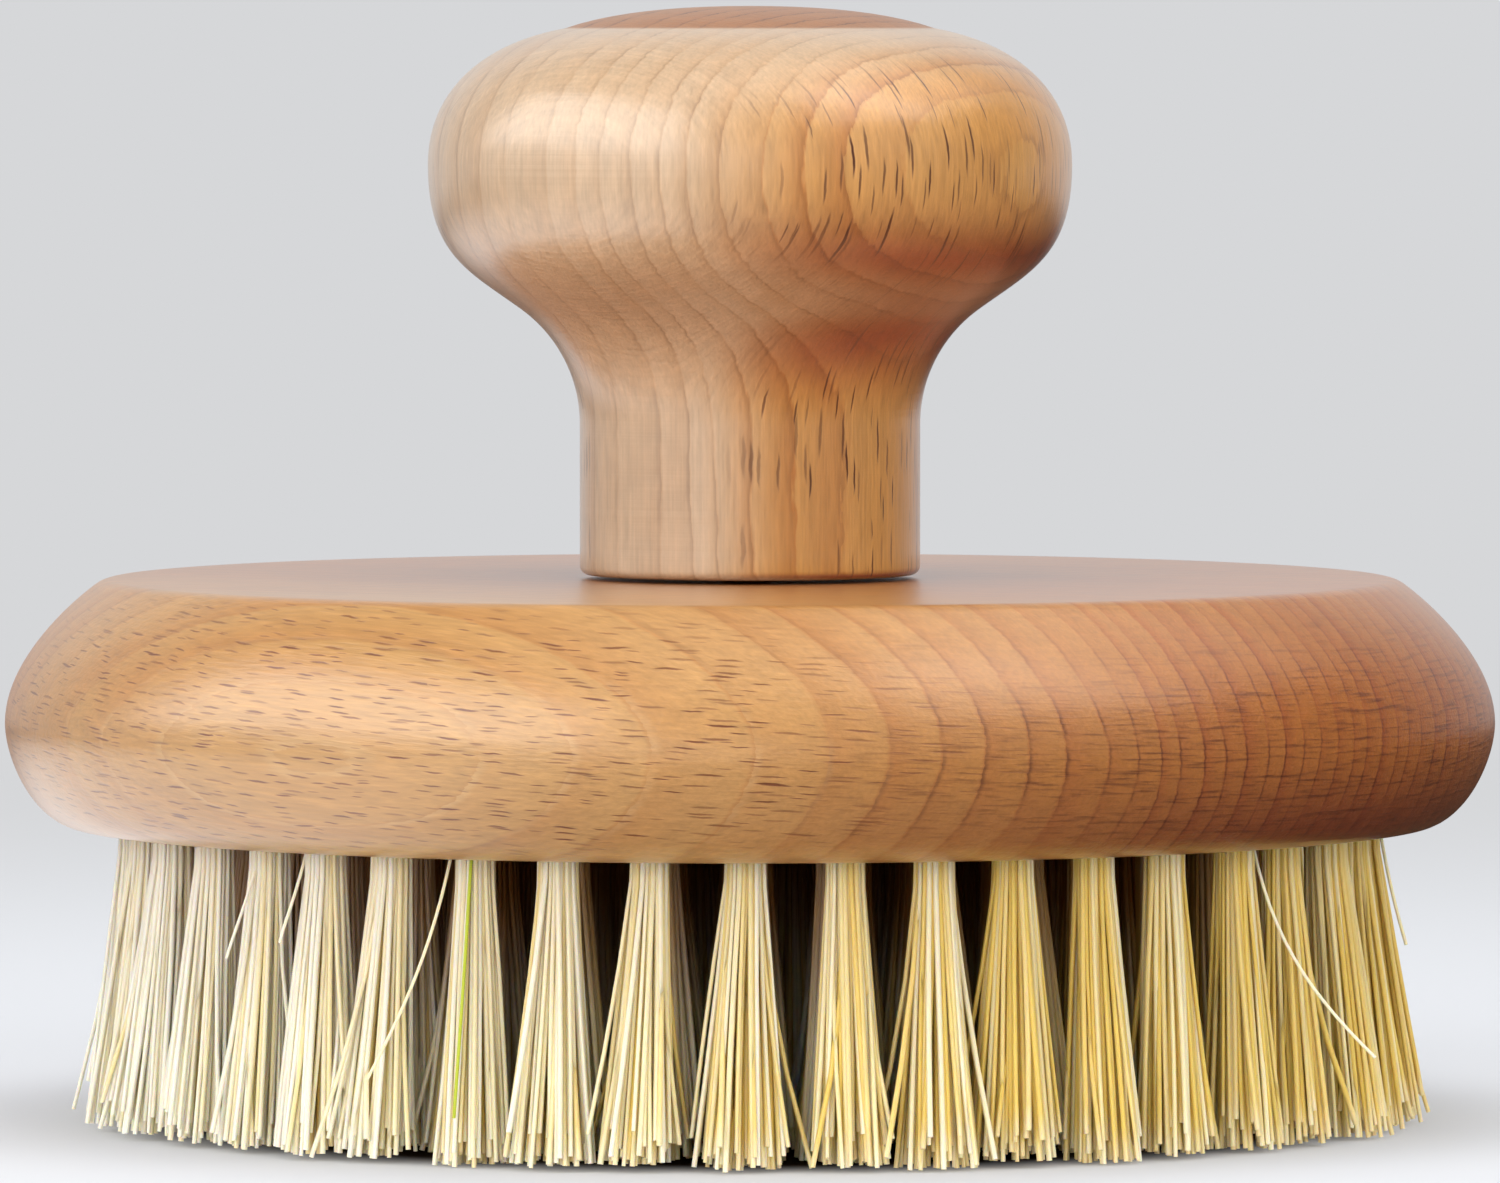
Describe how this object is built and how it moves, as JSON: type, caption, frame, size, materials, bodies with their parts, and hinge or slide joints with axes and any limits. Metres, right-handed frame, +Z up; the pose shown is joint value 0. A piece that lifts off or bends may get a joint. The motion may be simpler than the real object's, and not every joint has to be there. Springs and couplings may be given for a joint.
{
  "type": "body brush",
  "caption": "Round palm-held body brush: a turned wooden knob on a thick bull-nosed wooden disc, with rings of stiff pale plant-fibre tufts below.",
  "frame": {"origin": "centre of the flat surface that the fibre tips stand on, under the middle of the knob", "axes": "+Z up along the brush's axis, from the fibre tips to the knob; the pictured side faces -Y"},
  "size_m": [0.1204, 0.1204, 0.09],
  "materials": {
    "knob_beech": "oiled, satin",
    "block_beech": "oiled, satin",
    "agave_fibre": "stiff plant fibre, slight sheen",
    "steel": "bright zinc"
  },
  "bodies": {
    "root": {"knob_handle": "knob_beech", "brush_block": "block_beech", "knob_screw": "steel", "outer_tufts": "agave_fibre", "second_tufts": "agave_fibre", "middle_tufts": "agave_fibre", "inner_tufts": "agave_fibre", "tuft_staple_01": "steel", "tuft_staple_02": "steel", "tuft_staple_03": "steel", "tuft_staple_04": "steel", "tuft_staple_05": "steel", "tuft_staple_06": "steel", "tuft_staple_07": "steel", "tuft_staple_08": "steel", "tuft_staple_09": "steel", "tuft_staple_10": "steel", "tuft_staple_11": "steel", "tuft_staple_12": "steel", "tuft_staple_13": "steel", "tuft_staple_14": "steel", "tuft_staple_15": "steel", "tuft_staple_16": "steel", "tuft_staple_17": "steel", "tuft_staple_18": "steel", "tuft_staple_19": "steel", "tuft_staple_20": "steel", "tuft_staple_21": "steel", "tuft_staple_22": "steel", "tuft_staple_23": "steel", "tuft_staple_24": "steel", "tuft_staple_25": "steel", "tuft_staple_26": "steel", "tuft_staple_27": "steel", "tuft_staple_28": "steel", "tuft_staple_29": "steel", "tuft_staple_30": "steel", "tuft_staple_31": "steel", "tuft_staple_32": "steel", "tuft_staple_33": "steel", "tuft_staple_34": "steel", "tuft_staple_35": "steel", "tuft_staple_36": "steel", "tuft_staple_37": "steel", "tuft_staple_38": "steel", "tuft_staple_39": "steel", "tuft_staple_40": "steel", "tuft_staple_41": "steel", "tuft_staple_42": "steel", "tuft_staple_43": "steel"}
  },
  "joints": []
}
